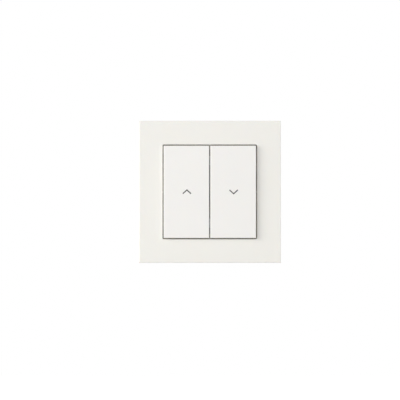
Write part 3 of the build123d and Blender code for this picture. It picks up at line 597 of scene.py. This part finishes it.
for terminal, number in TERMINALS.items():
    new_piece(f"{terminal}_terminal_sign", terminal_sign(signs[terminal.split("_")[0]], number),
              sign_ink, "insert")


# Stage: a pale floor well below, and a white ground for the camera
FLOOR_DROP = 0.30
FLOOR_HALF = 6.0
FLOOR_GLOW = 0.8
# The tones on the floor come this many times in a metre
FLOOR_TONES = 3.0
# Strength of the even light from all round; the camera sees the same ground at full white
AMBIENT = 0.458


def seen_directly(tree):
    """1 for what the camera sees, also in a reflection or through something clear, and 0 elsewhere."""
    path = add_node(tree, "ShaderNodeLightPath").outputs
    shown = add_node(tree, "ShaderNodeMath", {0: path["Is Camera Ray"], 1: path["Is Glossy Ray"]},
                     operation="MAXIMUM")
    shown = add_node(tree, "ShaderNodeMath", {0: shown.outputs[0], 1: path["Is Transmission Ray"]},
                     operation="MAXIMUM")
    return shown.outputs[0]


def floor_material():
    """A matt pale floor that reads white and keeps the shadow."""
    material, tree, output, place = new_material("matt_pale_floor")
    tone = add_node(tree, "ShaderNodeTexNoise", {"Vector": place, "Scale": FLOOR_TONES})
    colour = add_node(tree, "ShaderNodeMix",
                      {"Factor": tone.outputs["Fac"], "A": linear("#EDEDEC"), "B": linear("#E9E9E8")},
                      data_type="RGBA")
    matt = add_node(tree, "ShaderNodeBsdfDiffuse", {"Color": colour.outputs["Result"]})
    white = add_node(tree, "ShaderNodeEmission", {"Color": (1, 1, 1, 1), "Strength": FLOOR_GLOW})
    both = add_node(tree, "ShaderNodeAddShader", {0: matt.outputs["BSDF"], 1: white.outputs["Emission"]})
    choice = add_node(tree, "ShaderNodeMixShader",
                      {0: seen_directly(tree), 1: matt.outputs["BSDF"], 2: both.outputs["Shader"]})
    tree.links.new(choice.outputs["Shader"], output.inputs["Surface"])
    return material


floor_mesh = bpy.data.meshes.new("floor")
corners = [(-1, -1), (1, -1), (1, 1), (-1, 1)]
floor_mesh.from_pydata([(x * FLOOR_HALF, y * FLOOR_HALF, -FLOOR_DROP) for x, y in corners],
                       [], [(0, 1, 2, 3)])
floor_mesh.materials.append(floor_material())
floor = bpy.data.objects.new("floor", floor_mesh)
bpy.context.scene.collection.objects.link(floor)

world = bpy.data.worlds.new("studio")
bpy.context.scene.world = world
world.use_nodes = True
tree = world.node_tree
tree.nodes.clear()
strength = add_node(tree, "ShaderNodeMapRange",
                    {"Value": seen_directly(tree), "To Min": AMBIENT, "To Max": 1.0})
ground = add_node(tree, "ShaderNodeBackground",
                  {"Color": (1, 1, 1, 1), "Strength": strength.outputs["Result"]})
add_node(tree, "ShaderNodeOutputWorld", {"Surface": ground.outputs["Background"]})


def softbox(name, direction, distance, size, power, colour):
    """A square area lamp that looks at the switch from a direction."""
    lamp = bpy.data.lights.new(name, "AREA")
    lamp.shape = "SQUARE"
    lamp.size = size
    lamp.energy = power
    lamp.color = linear(colour)[:3]
    holder = bpy.data.objects.new(name, lamp)
    bpy.context.scene.collection.objects.link(holder)
    towards = Vector(direction).normalized()
    holder.location = towards * distance
    holder.rotation_euler = towards.to_track_quat("Z", "Y").to_euler()


softbox("left_softbox", (-0.84, -0.46, 0.28), distance=1.8, size=1.0, power=22.2, colour="#FFFDFA")
softbox("front_fill", (0.25, -1.0, 0.60), distance=1.6, size=1.0, power=3.4, colour="#FFFFFF")
softbox("right_reflector", (0.97, 0.05, 0.0), distance=1.6, size=0.5, power=6.0, colour="#FFFFFF")

# Camera: level and square to the keys, from far off, as the photo shows no perspective
low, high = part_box("cover_frame")
front = low.y
front_size = (high.x - low.x + high.z - low.z) / 2
pixels = (FRAME_RIGHT - FRAME_LEFT + FRAME_BOTTOM - FRAME_TOP) / 2
per_pixel = front_size / pixels
distance = per_pixel * PICTURE_WIDTH * LENS / SENSOR
camera_x = (low.x + high.x) / 2 - ((FRAME_LEFT + FRAME_RIGHT) / 2 - PICTURE_WIDTH / 2) * per_pixel
camera_z = (low.z + high.z) / 2 + ((FRAME_TOP + FRAME_BOTTOM) / 2 - PICTURE_WIDTH / 2) * per_pixel
camera = bpy.data.objects.new("camera", bpy.data.cameras.new("camera"))
camera.data.lens = LENS
camera.data.sensor_width = SENSOR
camera.data.clip_start = 10 * MM
camera.location = (camera_x, front - distance, camera_z)
camera.rotation_euler = (math.radians(90), 0, 0)
bpy.context.scene.collection.objects.link(camera)
bpy.context.scene.camera = camera
bpy.context.scene.view_settings.view_transform = "Standard"
